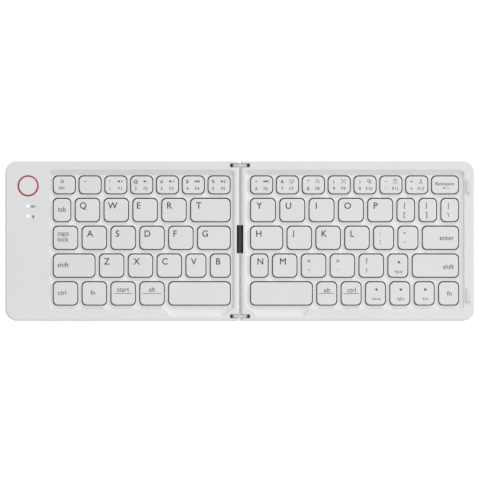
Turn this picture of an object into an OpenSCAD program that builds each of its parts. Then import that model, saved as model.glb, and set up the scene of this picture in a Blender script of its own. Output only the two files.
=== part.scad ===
/* [Case] */
// Width of one half, from its seam face to its outer side
half_w = 146; // [142:1:156]
// Gap between the two halves when they lie open
seam_gap = 1; // [0.8:0.1:1.4]
// Height of a half, from its underside to the top of its rim
case_h = 7; // [6.8:0.1:7.6]
// Height of the lower shell
tray_h = 2.3; // [2.2:0.05:2.4]
// Thickness of the lower shell's floor
floor_t = 1; // [0.9:0.05:1.1]
// Thickness of the side walls
wall_t = 1.4; // [1.2:0.1:1.6]
// Radius of the outer corners, seen from above
corner_r = 7.5; // [5:0.5:9]
// Radius of the upper outer edge
top_edge_r = 1; // [0.6:0.1:1.2]
// Radius of the lower outer edge
bottom_edge_r = 0.8; // [0.4:0.1:1]
// Distance from the hinge pins to the seam face and to the top of the rim
nose_r = 2.8; // [2.7:0.05:2.9]
// Width of the rim behind the keys
back_rim_w = 5.5; // [5.4:0.1:7]
// Width of the rim in front of the keys
front_rim_w = 7.1; // [6.8:0.1:9]
// Width of the blank strip beside the left keys
strip_w = 27.4; // [27:0.2:32]
// Width of the rim beside the right keys
side_rim_w = 6.5; // [6.3:0.1:9]
/* [Key well] */
// Depth of the key well below the rim
well_drop = 1.6; // [1.4:0.1:1.7]
// Thickness of the web between the keys
web_t = 1.2; // [1:0.1:1.3]
// Run of the slope behind the keys
back_slope = 3.4; // [2:0.2:4]
// Run of the slope beside the seam
seam_slope = 1.8; // [1:0.1:2]
// Run of the short slopes on the other two sides
side_slope = 0.6; // [0.3:0.1:1]
// Radius of the key well's corners, seen from above
well_r = 3; // [2:0.2:4]
// Length of the thumb notch in front of the left space key
left_notch_w = 33.7; // [20:1:40]
// Length of the thumb notch in front of the right space key
right_notch_w = 29.4; // [20:1:40]
// Reach of both thumb notches into the front rim
notch_d = 4.3; // [2:0.1:4.6]
// Run of the slope in front of both thumb notches
notch_slope = 0.7; // [0.3:0.1:1]
/* [Keys] */
// Width of a letter key, measured to the middle of the line around it
key_w = 15.4; // [15:0.1:16]
// Width of the punctuation and arrow keys
small_w = 12.6; // [12:0.1:13]
// Width of the narrowest keys
narrow_w = 11.1; // [10.9:0.1:11.6]
// Width of a key in the back row of the left half
left_number_w = 13.9; // [13:0.1:14.2]
// Width of a key in the back row of the right half
number_w = 13.94; // [13:0.02:14.2]
// Width of the backspace key
backspace_w = 16.9; // [15:0.1:20]
// Width of a letter key in the upper row of the right half
upper_w = 15.68; // [15:0.02:16.4]
// Width of the last key of the left half's upper row
upper_last_w = 24.9; // [22:0.1:26]
// Width of the last key of the left half's home row
home_last_w = 20.6; // [19:0.1:24]
// Width of the first home key of the right half
wide_w = 20.2; // [19:0.1:21]
// Width of the enter key
enter_w = 22.74; // [20:0.02:26]
// Width of the left shift key
left_shift_w = 26.2; // [22:0.1:30]
// Width of the right shift key
right_shift_w = 29.04; // [24:0.02:32]
// Width of the left space key
left_space_w = 38.6; // [36:0.1:44]
// Width of the right space key
right_space_w = 38.74; // [36:0.02:44]
// Depth of a key
key_d = 14.75; // [14:0.05:15.5]
// Depth of a key in the back row
number_d = 11.4; // [11.2:0.1:13]
// Distance between neighbouring keys
key_gap = 2.6; // [2.4:0.1:3]
// Distance between the keys of the back row
number_gap = 2.2; // [2:0.1:2.6]
// Gap between a key and the web around it
key_play = 0.5; // [0.4:0.05:0.6]
// Corner radius of a key
key_r = 2.75; // [2.2:0.05:2.9]
// Travel of a key
key_travel = 1.5; // [1.2:0.1:1.6]
// Thickness of a keycap's top
cap_t = 0.9; // [0.8:0.05:1]
// Height of a keycap
cap_h = 2.3; // [2.1:0.05:2.4]
// Thickness of a keycap's skirt
skirt_t = 0.6; // [0.5:0.05:0.65]
// Depth of the key tops below the rim
key_sink = 0.2; // [0.1:0.05:0.4]
/* [Key mechanism] */
// Length of a scissor frame
frame_l = 8.4; // [8.2:0.05:8.5]
// Width of an outer scissor frame
frame_w = 9; // [8.8:0.05:9.05]
// Thickness of a scissor frame
frame_t = 0.6; // [0.5:0.05:0.65]
// Width of a scissor frame's arms and bars
arm_w = 0.9; // [0.8:0.05:0.95]
// Rise of a scissor frame over its length
frame_rise = 2.2; // [2:0.05:2.3]
// Radius of the pivots between two scissor frames
pivot_r = 0.22; // [0.18:0.01:0.24]
// Radius of a rubber dome at its base
dome_r = 2; // [1.8:0.05:2.1]
// Thickness of the support plate
plate_t = 0.3; // [0.25:0.05:0.35]
// Thickness of the membrane
membrane_t = 0.25; // [0.2:0.05:0.3]
/* [Hinge] */
// Thickness of a link plate
link_t = 2; // [1.8:0.1:2.2]
// Radius of a link plate's round ends
link_r = 1.6; // [1.5:0.05:1.6]
// Clearance on each side of a link plate
link_play = 0.2; // [0.15:0.05:0.3]
// Distance from a link plate's middle to the front or back of the case
link_inset = 2.9; // [2.8:0.05:3]
// Radius of a hinge pin
pin_r = 0.75; // [0.7:0.01:0.8]
// Clearance around a pin in its link plate
pin_play = 0.05; // [0.03:0.01:0.08]
// Width of the flat cable across the seam
cable_w = 17; // [14:0.5:17.4]
// Thickness of the flat cable
cable_t = 0.25; // [0.2:0.05:0.3]
/* [Outside parts] */
// Height of the feet below the case
foot_h = 0.7; // [0.6:0.1:1]
// Length of a foot
foot_l = 96; // [60:2:100]
// Width of a foot
foot_w = 5; // [4:0.2:6]
// Length of a bumper
bumper_l = 9; // [6:0.5:12]
// Width of a bumper
bumper_w = 3; // [2.5:0.1:3.4]
// Height of a bumper above the rim
bumper_h = 0.9; // [0.8:0.05:0.95]
// Outer radius of the ring around the connect button
ring_r = 6.65; // [6.2:0.05:7]
// Width of that ring
ring_w = 0.8; // [0.6:0.05:0.9]
// Travel of the connect button
button_travel = 0.3; // [0.2:0.05:0.35]
// Radius of an indicator lens
lens_r = 0.9; // [0.7:0.05:1]
/* [Inside parts] */
// Thickness of the main board
board_t = 0.8; // [0.7:0.05:0.8]
// Length of the battery
battery_l = 46; // [40:1:47]
// Width of the battery
battery_w = 18; // [14:0.5:18.4]
// Thickness of the battery
battery_t = 3.8; // [3:0.1:4]
// Length of a magnet
magnet_l = 10; // [6:0.5:11]
// Width of a magnet
magnet_w = 3; // [2:0.1:3.2]
// Thickness of a magnet
magnet_t = 1.6; // [1.2:0.1:1.7]
// Radius of a screw's shank
screw_r = 0.7; // [0.6:0.05:0.8]

/* [Hidden] */
$fn = 48;
eps = 0.01;
case_colour = [0.86, 0.86, 0.865];
key_colour = [0.88, 0.88, 0.885];
metal_colour = [0.66, 0.67, 0.69];
black_colour = [0.08, 0.08, 0.085];
red_colour = [0.78, 0.12, 0.18];

// Heights above the surface that the feet rest on
case_bottom = foot_h;
floor_top = case_bottom + floor_t;
parting = case_bottom + tray_h;
rim_top = case_bottom + case_h;
web_top = rim_top - well_drop;
web_bottom = web_top - web_t;
plate_rib_h = 0.7;
plate_bottom = floor_top + plate_rib_h;
plate_top = plate_bottom + plate_t;
membrane_top = plate_top + membrane_t;
key_top = rim_top - key_sink;
cap_under = key_top - cap_t;
cap_bottom = key_top - cap_h;
dome_top = cap_under - 1;

// Distances from the seam, outwards along a half
seam_face = seam_gap / 2;
outer_u = seam_face + half_w;
pin_u = seam_face + nose_r;
nose_play = 0.1;
nose_reach = pin_u - nose_play;
pin_z = rim_top - nose_r;
well_in = pin_u + seam_slope;
strip_in = outer_u - strip_w + 2.4;
side_well = outer_u - side_rim_w;
strip_well = outer_u - strip_w;

// Keys: each row lists node and width from left to right, and is then fitted to its block
block_d = number_d + 4 * key_d + 4 * key_gap;
back_margin = 0.5;
front_margin = 2.7;
case_d = front_rim_w + front_margin + block_d + back_margin + back_slope + back_rim_w;
well_back = case_d / 2 - back_rim_w;
well_front = -case_d / 2 + front_rim_w;
block_back = well_back - back_slope - back_margin;
left_x = -(strip_well - 2.45);
left_span = -(well_in + 0.95) - left_x;
right_x = well_in + 1.35;
right_span = side_well - 3.6 - right_x;

width_step = 0.02;
frame_side_play = 0.15;
function many(name, count, width) = [for (i = [1:count]) [name, width]];
left_rows = [
    concat([["key_esc", left_number_w]], many("keys_number_left", 6, left_number_w)),
    concat([["key_tab", narrow_w]], many("keys_top_left", 4, key_w),
        [["keys_top_left", upper_last_w]]),
    concat([["key_caps_lock", key_w]], many("keys_home_left", 4, key_w),
        [["keys_home_left", home_last_w]]),
    concat([["key_shift_left", left_shift_w]], many("keys_lower_left", 3, key_w),
        many("keys_lower_left", 2, small_w)),
    [["key_ctrl_left", key_w], ["key_fn_left", key_w], ["key_start", key_w],
        ["key_alt_left", key_w], ["key_space_left", left_space_w]],
];
right_rows = [
    concat(many("keys_number_right", 7, number_w), [["key_backspace", backspace_w]]),
    concat(many("keys_top_right", 5, upper_w), many("keys_top_right", 3, narrow_w)),
    concat([["keys_home_right", wide_w]], many("keys_home_right", 3, key_w),
        many("keys_home_right", 2, small_w), [["key_enter", enter_w]]),
    concat([["keys_lower_right", narrow_w]], many("keys_lower_right", 4, key_w),
        [["key_up", small_w], ["key_shift_right", right_shift_w]]),
    [["key_space_right", right_space_w], ["key_alt_right", small_w], ["key_ctrl_right", small_w],
        ["key_left", small_w], ["key_down", small_w], ["key_right", small_w],
        ["key_fn_right", small_w]],
];
function total(list, count) = count <= 0 ? 0 : list[count - 1] + total(list, count - 1);
function row_gap(row) = row == 0 ? number_gap : key_gap;
function row_d(row) = row == 0 ? number_d : key_d;
function row_y(row) = block_back - (row == 0 ? number_d / 2
    : number_d + key_gap + key_d / 2 + (row - 1) * (key_d + key_gap));
// Width that a key's scissors need inside its skirt, and the share of a row that may stretch
least_w = frame_w + 2 * (skirt_t + frame_side_play) + key_play;
function spare_w(widths) = total(widths, len(widths)) - least_w * len(widths);
function fitted(widths, span, gap) =
    let (spare = span - gap * (len(widths) - 1) - least_w * len(widths))
    let (stretch = spare / spare_w(widths))
    [for (width = widths)
        width_step * floor((least_w + (width - least_w) * stretch) / width_step + eps)];
function placed(keys, row, x, span) =
    let (widths = fitted([for (key = keys) key[1]], span, row_gap(row)))
    [for (i = [0:len(keys) - 1])
        [keys[i][0], x + total(widths, i) + i * row_gap(row) + widths[i] / 2, row_y(row),
            widths[i], row_d(row)]];
left_keys = [for (row = [0:4]) each placed(left_rows[row], row, left_x, left_span)];
right_keys = [for (row = [0:4]) each placed(right_rows[row], row, right_x, right_span)];
function keys_on(side) = side < 0 ? left_keys : right_keys;

// Key mechanism
long_key_spread = 11.5;
long_key_w = 2 * (long_key_spread + frame_w / 2 + skirt_t + key_play + 0.4);
frame_angle = atan(frame_rise / (frame_l - arm_w));
frame_z = (membrane_top + cap_under) / 2;
frame_gap = 0.3;
inner_frame_w = frame_w - 2 * arm_w - 2 * frame_gap;
hook_t = 0.4;
hook_w = 1;
hook_side = frame_w / 2 - 0.1 - hook_w / 2;
hook_y = frame_l / 2 * cos(frame_angle) + 0.3 + hook_t / 2;
lip_reach = 1.1;
lip_t = 0.2;
bar_top = frame_z - (hook_y - lip_reach) * tan(frame_angle) + frame_t / 2 / cos(frame_angle);
lip_z = bar_top + 0.15;
dome_neck_r = 1.3;
dome_wall = 0.4;
function scissor_spots(width) = width > long_key_w ? [-long_key_spread, long_key_spread] : [0];

// Hinge and cable across the seam
link_y = case_d / 2 - link_inset;
slot_w = link_t + 2 * link_play;
slot_u = pin_u + link_r + 1.3;
pin_in = link_y - slot_w / 2 - 1.7;
pin_out = case_d / 2 - 0.2;
pin_grip = 0.01;
cable_y = 1;
window_w = cable_w + 0.7;
window_u = 2.05;
passage_bottom = parting + 0.7;
passage_top = parting + 1.4;
cable_z = parting + 1.1;
loop_r = 1.375;
turn_r = 0.4;
cable_end = 2.9;
tail_drop = well_in + 0.15;
tail_flat = well_in + 0.95;
tail_gap = 1.2;
function tail_end(side) = min([for (key = keys_on(side))
    if (abs(key[2] - cable_y) < key_d / 2) abs(key[1])]) - frame_w / 2 - tail_gap;
notch_floor = floor_top + 0.2;

// Outside and inside parts
fit = 0.02;
foot_sink = 0.3;
foot_y = case_d / 2 - 10;
foot_u = seam_face + half_w / 2;
bumper_sink = 0.3;
bumper_u = outer_u - 3.8;
bumper_y = 34;
button_u = outer_u - 14.2;
button_y = 34.3;
roof_bottom = rim_top - 1.5;
button_r = ring_r - ring_w - 0.2;
ring_bottom = roof_bottom + 0.4;
ring_rise = 0.08;
lens_ys = [21.7, 15.4];
board_bottom = floor_top + 0.2;
board_top = board_bottom + board_t;
board_play = 3;
board_back = case_d / 2 - 6;
board_out = outer_u - wall_t - 0.6;
radio_w = 8;
radio_d = 7;
chip_w = 5;
strip_out = outer_u - 6;
port_y = 27;
port_w = 8.94;
port_h = 3.16;
port_l = 7.2;
port_wall = 0.3;
port_z = board_top + port_h / 2;
port_out = outer_u - 0.2;
port_play = 0.15;
magnet_u = outer_u - wall_t - 0.35 - magnet_w / 2;
magnet_y = 12;
screw_us = [14, seam_face + half_w / 2, outer_u - 18.5];
screw_y = case_d / 2 - 3.6;
boss_r = 1.8;
battery_front = -screw_y + boss_r + 3.6;
battery_back = battery_front + battery_l;
board_front = battery_back + board_play;
socket_front = board_front + 0.2;
membrane_tail_y = 19;
membrane_tail_w = 10;
screw_head_r = 1.4;
screw_head_h = 0.5;
screw_sink = 0.05;
post_r = 0.85;
post_first = well_in + 24.9;
post_last = strip_well - 11.1;
post_us = [post_first, (post_first + post_last) / 2, post_last];
left_notch_u = well_in + 5;
right_notch_u = well_in + 6;
plate_in = 5.4;
plate_side = 1;

// ---- Shared shapes ----

// Turns a shape made for the right half into the same shape on the given side
module on_side(side) mirror([side < 0 ? 1 : 0, 0, 0]) children();

// Both ends of the case, back and front
module both_ends() for (turn = [0, 1]) mirror([0, turn, 0]) children();

module rounded(width, depth, r) {
    square([width - 2 * r, depth], center = true);
    square([width, depth - 2 * r], center = true);
    for (x = [-1, 1], y = [-1, 1])
        translate([x * (width / 2 - r), y * (depth / 2 - r)]) circle(r);
}

module pill(length, width) {
    square([length - width, width], center = true);
    for (x = [-1, 1]) translate([x * (length - width) / 2, 0]) circle(width / 2);
}

// Extrudes a profile drawn in x and z along y, over the given range of y
module along_y(y1, y2) translate([0, y2, 0]) rotate([90, 0, 0]) linear_extrude(y2 - y1) children();

// Extrudes a profile drawn in y and z along x, over the given range of x
module along_x(x1, x2) translate([x1, 0, 0]) rotate([90, 0, 90]) linear_extrude(x2 - x1) children();

// Plan of a half, drawn in from its outline, from the given distance off the seam
module half_plan(u, inset) {
    r = max(0.5, corner_r - inset);
    end = outer_u - inset;
    side = case_d / 2 - inset;
    translate([u, -side]) square([end - r - u, 2 * side]);
    translate([end - r, r - side]) square([r, 2 * (side - r)]);
    for (y = [-1, 1]) translate([end - r, y * (side - r)]) circle(r);
}

// Section from its inner end to its outer side, with the upper outer corner rounded
module edge_section(width, height, r) {
    square([width - r, height]);
    translate([width - r, 0]) square([r, height - r]);
    intersection() {
        translate([width - r, height - r]) circle(r);
        translate([width - r, height - r]) square(r);
    }
}

// Solid half with its upper outer edge rounded, from height 0
module half_block(height, r) {
    corner_u = outer_u - corner_r;
    corner_y = case_d / 2 - corner_r;
    both_ends() along_x(seam_face, corner_u) edge_section(case_d / 2, height, r);
    translate([corner_u, 0, 0]) along_y(-corner_y, corner_y) edge_section(corner_r, height, r);
    both_ends() translate([corner_u, corner_y, 0])
        rotate_extrude(angle = 90) edge_section(corner_r, height, r);
}

module at_posts() {
    for (u = post_us, row = [0:3])
        translate([u, row_y(row) - row_d(row) / 2 - key_gap / 2, 0]) children();
}

module at_screws() for (u = screw_us, y = [-1, 1]) translate([u, y * screw_y, 0]) children();

module at_magnets() for (y = [-1, 1]) translate([magnet_u, y * magnet_y, 0]) children();

module at_feet() for (y = [-1, 1]) translate([foot_u, y * foot_y, 0]) children();

// ---- Upper shells ----

// Section of the upper shell with its rounded edge at the seam
module nose_section() {
    translate([pin_u, parting]) square([half_w, rim_top - parting]);
    translate([seam_face, parting]) square([nose_r, pin_z - parting]);
    intersection() {
        translate([pin_u, pin_z]) circle(nose_reach);
        translate([seam_face, pin_z]) square(nose_r);
    }
}

// Room of the key well, from the web up, widening through its four slopes
module well_room(well_u) {
    above = 1;
    drop = well_drop + above;
    reach = drop / well_drop;
    rim_in = well_in - seam_slope;
    intersection() {
        translate([(rim_in + well_u) / 2, (well_front + well_back) / 2, web_top])
            linear_extrude(drop) rounded(well_u - rim_in, well_back - well_front, well_r);
        along_y(-case_d, case_d) polygon([
            [well_in, web_top], [well_u - side_slope, web_top],
            [well_u - side_slope + side_slope * reach, web_top + drop],
            [well_in - seam_slope * reach, web_top + drop],
        ]);
        along_x(0, outer_u) polygon([
            [well_front + side_slope, web_top], [well_back - back_slope, web_top],
            [well_back - back_slope + back_slope * reach, web_top + drop],
            [well_front + side_slope - side_slope * reach, web_top + drop],
        ]);
    }
}

// Notch whose ends slant out towards the key well, as far as the seam's slope on one side
module thumb_notch(u, width) {
    flare = 2.6;
    front = well_front - notch_d;
    back = well_front + side_slope;
    inner = well_in + 0.2;
    intersection() {
        translate([0, 0, web_top]) linear_extrude(case_h) polygon([
            [u, front], [u + width, front], [u + width + flare, back],
            [u + width + flare, back + 1], [inner, back + 1], [inner, back],
        ]);
        along_x(inner - 1, outer_u) polygon([
            [front + notch_slope, web_top], [back + 2, web_top], [back + 2, rim_top + 1],
            [front, rim_top + 1], [front, rim_top],
        ]);
    }
}

module hinge_room() {
    both_ends() {
        translate([-eps, link_y - slot_w / 2, parting - eps]) cube([slot_u, slot_w, case_h]);
        translate([pin_u, case_d / 2 + eps, pin_z]) rotate([90, 0, 0])
            cylinder(r = pin_r + pin_grip, h = case_d / 2 + 2 * eps - pin_in);
    }
}

module cable_room() {
    translate([-eps, cable_y - window_w / 2, notch_floor])
        cube([window_u + eps, window_w, case_h]);
    translate([window_u - eps, cable_y - window_w / 2, passage_bottom])
        cube([well_in + 2 * eps - window_u, window_w, passage_top - passage_bottom]);
}

module key_holes(side) {
    translate([0, 0, web_bottom - eps]) linear_extrude(web_t + 2 * eps)
        for (key = keys_on(side)) translate([key[1], key[2]])
            rounded(key[3] + key_play, key[4] + key_play, key_r + key_play / 2);
}

module upper_shell(side, well_u, notch_u, notch_w) {
    on_side(side) difference() {
        union() {
            difference() {
                intersection() {
                    translate([0, 0, parting]) half_block(rim_top - parting, top_edge_r);
                    along_y(-case_d, case_d) nose_section();
                }
                translate([0, 0, parting - eps]) linear_extrude(web_bottom - parting + eps)
                    half_plan(well_in, wall_t);
            }
            at_screws() translate([0, 0, floor_top]) cylinder(r = boss_r, h = web_bottom - floor_top + eps);
            at_posts() translate([0, 0, membrane_top]) cylinder(r = post_r, h = web_bottom - membrane_top + eps);
        }
        well_room(well_u);
        thumb_notch(notch_u, notch_w);
        hinge_room();
        cable_room();
        at_screws() translate([0, 0, floor_top - eps])
            cylinder(r = screw_r + fit, h = web_bottom - floor_top - 0.2);
    }
}

// Opening in both shells for the charging port
module port_room() {
    translate([strip_out - 3, port_y, port_z]) rotate([90, 0, 90])
        linear_extrude(strip_w) pill(port_w + 2 * port_play, port_h + 2 * port_play);
}

module left_top_case() color(case_colour) difference() {
    upper_shell(-1, strip_well, left_notch_u, left_notch_w);
    key_holes(-1);
    on_side(-1) {
        translate([strip_in, well_front, web_bottom - eps])
            cube([strip_out - strip_in, well_back - well_front, roof_bottom - web_bottom + eps]);
        port_room();
        translate([button_u, button_y, 0]) {
            translate([0, 0, roof_bottom - eps]) cylinder(r = button_r + 0.35, h = 3);
            translate([0, 0, ring_bottom]) cylinder(r = ring_r + fit, h = 3);
        }
        for (y = lens_ys) translate([button_u, y, roof_bottom - eps])
            cylinder(r = lens_r + fit, h = 3);
    }
}

module right_top_case() color(case_colour) difference() {
    upper_shell(1, side_well, right_notch_u, right_notch_w);
    key_holes(1);
    for (y = [-1, 1]) translate([bumper_u, y * bumper_y, rim_top - bumper_sink])
        linear_extrude(1) rotate(90) pill(bumper_l + 2 * fit, bumper_w + 2 * fit);
}

// ---- Lower shells ----

module lower_shell(side) {
    rib_t = 1;
    on_side(side) difference() {
        union() {
            difference() {
                translate([0, 0, parting]) mirror([0, 0, 1]) half_block(tray_h, bottom_edge_r);
                translate([0, 0, floor_top]) linear_extrude(tray_h)
                    half_plan(seam_face + wall_t, wall_t);
            }
            for (u = post_us) translate([u - rib_t / 2, well_front, floor_top - eps])
                cube([rib_t, well_back - well_front - 2, plate_rib_h + eps]);
            translate([plate_in + 1, well_front, floor_top - eps])
                cube([rib_t, well_back - well_front - 2, plate_rib_h + eps]);
        }
        at_feet() translate([0, 0, case_bottom - eps]) linear_extrude(foot_sink + eps)
            pill(foot_l + 2 * fit, foot_w + 2 * fit);
        at_screws() {
            translate([0, 0, case_bottom - eps])
                cylinder(r = screw_head_r + 0.15, h = screw_head_h + screw_sink + eps);
            cylinder(r = screw_r + 0.1, h = parting);
        }
        translate([-eps, cable_y - window_w / 2, notch_floor])
            cube([window_u + eps, window_w, tray_h]);
    }
}

module left_bottom_case() color(case_colour) {
    difference() {
        lower_shell(-1);
        on_side(-1) port_room();
    }
    on_side(-1) for (u = [strip_in + 2, board_out - 2], y = [board_front + 2, board_back - 2])
        translate([u, y, floor_top]) cylinder(r = 1, h = board_bottom - floor_top);
}

module right_bottom_case() color(case_colour) lower_shell(1);

// ---- Plates, membranes and what stands on them ----

// Places of the three tabs that hold one scissor pair: two in front at the sides, one behind
module at_tabs(key) {
    for (x = scissor_spots(key[3])) translate([key[1] + x, key[2], 0]) {
        for (side = [-1, 1]) translate([side * hook_side, -hook_y, 0]) children();
        translate([0, hook_y, 0]) rotate(180) children();
    }
}

module plate_tab() {
    translate([-hook_w / 2, -hook_t / 2, plate_top - eps])
        cube([hook_w, hook_t, lip_z + lip_t - plate_top + eps]);
    translate([-hook_w / 2, -hook_t / 2, lip_z]) cube([hook_w, lip_reach, lip_t]);
}

module plate_plan(well_u, grow) {
    translate([plate_in - grow, well_front + 0.6 - grow])
        square([well_u - 0.6 - plate_in + 2 * grow, well_back - well_front - 1.6 + 2 * grow]);
}

module support_plate(side, well_u) color(metal_colour) {
    on_side(side) translate([0, 0, plate_bottom]) linear_extrude(plate_t) plate_plan(well_u, 0);
    for (key = keys_on(side)) at_tabs(key) plate_tab();
}
module left_support_plate() support_plate(-1, strip_well);
module right_support_plate() support_plate(1, side_well);

module membrane(side, well_u) translate([0, 0, plate_top]) linear_extrude(membrane_t) difference() {
    on_side(side) union() {
        plate_plan(well_u, -0.3);
        if (side < 0) translate([well_u - 2, membrane_tail_y - membrane_tail_w / 2])
            square([strip_in + 2.5 - well_u + 2, membrane_tail_w]);
    }
    for (key = keys_on(side)) at_tabs(key)
        square([hook_w + 0.2, hook_t + 0.2], center = true);
}
module left_membrane() color([0.75, 0.78, 0.8]) membrane(-1, strip_well);
module right_membrane() color([0.75, 0.78, 0.8]) membrane(1, side_well);

module dome() {
    height = dome_top - membrane_top;
    neck = height - 0.7;
    rotate_extrude() polygon([
        [dome_r - dome_wall, 0], [dome_r, 0], [dome_r, 0.3], [dome_neck_r, neck],
        [dome_neck_r, height], [0, height], [0, neck], [dome_neck_r - dome_wall, neck],
    ]);
}
module domes(side) color([0.9, 0.9, 0.88])
    for (key = keys_on(side)) translate([key[1], key[2], membrane_top]) dome();
module left_domes() domes(-1);
module right_domes() domes(1);

module frame_ring(width) {
    difference() {
        cube([width, frame_l, frame_t], center = true);
        cube([width - 2 * arm_w, frame_l - 2 * arm_w, 2 * frame_t], center = true);
    }
}

// Outer frame rises to the back and inner frame to the front, pivoted on each other
module scissor() {
    rotate([frame_angle, 0, 0]) difference() {
        frame_ring(frame_w);
        rotate([0, 90, 0]) cylinder(r = pivot_r + 0.04, h = 2 * frame_w, center = true);
    }
    rotate([-frame_angle, 0, 0]) {
        frame_ring(inner_frame_w);
        for (side = [-1, 1]) translate([side * inner_frame_w / 2, 0, 0])
            rotate([0, 90, 0]) cylinder(r = pivot_r, h = 2 * (frame_gap + 0.6), center = true);
    }
}
module scissors(side) color([0.93, 0.93, 0.92]) for (key = keys_on(side))
    for (x = scissor_spots(key[3])) translate([key[1] + x, key[2], frame_z]) scissor();
module left_scissors() scissors(-1);
module right_scissors() scissors(1);

// ---- Keys ----

// Hook under a keycap, the plate's tab turned over
module cap_clip() {
    clip_z = 2 * frame_z - lip_z - lip_t;
    translate([-hook_w / 2, -hook_t / 2, clip_z]) cube([hook_w, hook_t, cap_under + eps - clip_z]);
    translate([-hook_w / 2, -hook_t / 2, clip_z]) cube([hook_w, lip_reach, lip_t]);
}

module keycap(key) translate([key[1], key[2], 0]) {
    width = key[3] - key_play;
    depth = key[4] - key_play;
    difference() {
        translate([0, 0, cap_bottom]) linear_extrude(cap_h) rounded(width, depth, key_r);
        translate([0, 0, cap_bottom - eps]) linear_extrude(cap_under - cap_bottom + eps)
            rounded(width - 2 * skirt_t, depth - 2 * skirt_t, key_r - skirt_t);
    }
    translate([0, 0, dome_top]) cylinder(r = dome_neck_r - 0.2, h = cap_under - dome_top + eps);
    for (x = scissor_spots(key[3])) translate([x, 0, 0]) {
        for (side = [-1, 1]) translate([side * hook_side, hook_y, 0]) rotate(180) cap_clip();
        translate([0, -hook_y, 0]) cap_clip();
    }
}

module keycaps(name) color(key_colour)
    for (key = concat(left_keys, right_keys)) if (key[0] == name) keycap(key);
module key_esc() keycaps("key_esc");
module keys_number_left() keycaps("keys_number_left");
module key_tab() keycaps("key_tab");
module keys_top_left() keycaps("keys_top_left");
module key_caps_lock() keycaps("key_caps_lock");
module keys_home_left() keycaps("keys_home_left");
module key_shift_left() keycaps("key_shift_left");
module keys_lower_left() keycaps("keys_lower_left");
module key_ctrl_left() keycaps("key_ctrl_left");
module key_fn_left() keycaps("key_fn_left");
module key_start() keycaps("key_start");
module key_alt_left() keycaps("key_alt_left");
module key_space_left() keycaps("key_space_left");
module keys_number_right() keycaps("keys_number_right");
module key_backspace() keycaps("key_backspace");
module keys_top_right() keycaps("keys_top_right");
module keys_home_right() keycaps("keys_home_right");
module key_enter() keycaps("key_enter");
module keys_lower_right() keycaps("keys_lower_right");
module key_up() keycaps("key_up");
module key_shift_right() keycaps("key_shift_right");
module key_space_right() keycaps("key_space_right");
module key_alt_right() keycaps("key_alt_right");
module key_ctrl_right() keycaps("key_ctrl_right");
module key_left() keycaps("key_left");
module key_down() keycaps("key_down");
module key_right() keycaps("key_right");
module key_fn_right() keycaps("key_fn_right");

// ---- Hinge and cable ----

module hinge_links() color(metal_colour) both_ends()
    along_y(link_y - link_t / 2, link_y + link_t / 2) translate([0, pin_z]) difference() {
        pill(2 * (pin_u + link_r), 2 * link_r);
        for (x = [-pin_u, pin_u]) translate([x, 0]) circle(pin_r + pin_play);
    }

module hinge_pins(side) color([0.5, 0.51, 0.53]) on_side(side) both_ends()
    translate([pin_u, pin_out, pin_z]) rotate([90, 0, 0]) cylinder(r = pin_r, h = pin_out - pin_in);
module left_hinge_pins() hinge_pins(-1);
module right_hinge_pins() hinge_pins(1);

// Section of the cable's loop, hanging in the seam, with an outward turn on each side
module loop_section() {
    turn_z = cable_z - turn_r;
    inner = cable_t / 2;
    translate([0, turn_z]) difference() {
        circle(loop_r + inner);
        circle(loop_r - inner);
        translate([-2 * loop_r, 0]) square(4 * loop_r);
    }
    for (side = [0, 1]) mirror([side, 0]) {
        intersection() {
            translate([loop_r + turn_r, turn_z]) difference() {
                circle(turn_r + inner);
                circle(turn_r - inner);
            }
            translate([loop_r - inner, turn_z]) square([turn_r + inner, turn_r + inner]);
        }
        translate([loop_r + turn_r, cable_z - inner])
            square([cable_end - loop_r - turn_r, cable_t]);
    }
}
module flex_cable() color(black_colour)
    along_y(cable_y - cable_w / 2, cable_y + cable_w / 2) loop_section();

module flex_tail(side) color(black_colour) on_side(side)
    along_y(cable_y - cable_w / 2, cable_y + cable_w / 2) polygon([
        [cable_end, cable_z - cable_t / 2], [tail_drop, cable_z - cable_t / 2],
        [tail_flat, membrane_top], [tail_end(side), membrane_top],
        [tail_end(side), membrane_top + cable_t], [tail_flat + 0.16, membrane_top + cable_t],
        [tail_drop + 0.16, cable_z + cable_t / 2], [cable_end, cable_z + cable_t / 2],
    ]);
module left_flex_tail() flex_tail(-1);
module right_flex_tail() flex_tail(1);

// ---- Electronics in the blank strip ----

module main_board() color([0.1, 0.35, 0.2]) on_side(-1)
    translate([strip_in + 0.2, board_front, board_bottom])
        cube([board_out - strip_in - 0.2, board_back - board_front, board_t]);

module chip(u, y, width, depth, height) translate([u - width / 2, y - depth / 2, board_top])
    cube([width, depth, height]);

module board_components() color([0.2, 0.2, 0.22]) on_side(-1) {
    connector_u = strip_in + 2.5;
    chip(connector_u + 1.2, membrane_tail_y, 2.4, membrane_tail_w + 1, 1);
    chip(button_u + 7, button_y + 0.7, radio_w, radio_d, 1.4);
    chip(button_u + 4, board_front + 4.5, chip_w, chip_w, 0.9);
    chip(button_u + 2, port_y, 3, 2.5, 0.8);
    chip(button_u - 4, socket_front + 2, 5, 4, 1.9);
    for (y = lens_ys) chip(button_u, y, 1.6, 0.8, 0.6);
    chip(button_u, button_y, 4.2, 4.2, 1.3);
    translate([button_u, button_y, board_top + 1.3 - eps]) cylinder(r = 1, h = 0.4 + eps);
}

module battery() color([0.75, 0.77, 0.8]) on_side(-1) {
    middle = (strip_in + strip_out) / 2;
    translate([middle - battery_w / 2, battery_front, floor_top])
        cube([battery_w, battery_l, battery_t]);
    for (x = [-1, 1]) translate([button_u - 4 + x, socket_front, board_top + 1])
        rotate([90, 0, 0]) cylinder(r = 0.45, h = socket_front - battery_back + eps);
}

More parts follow.
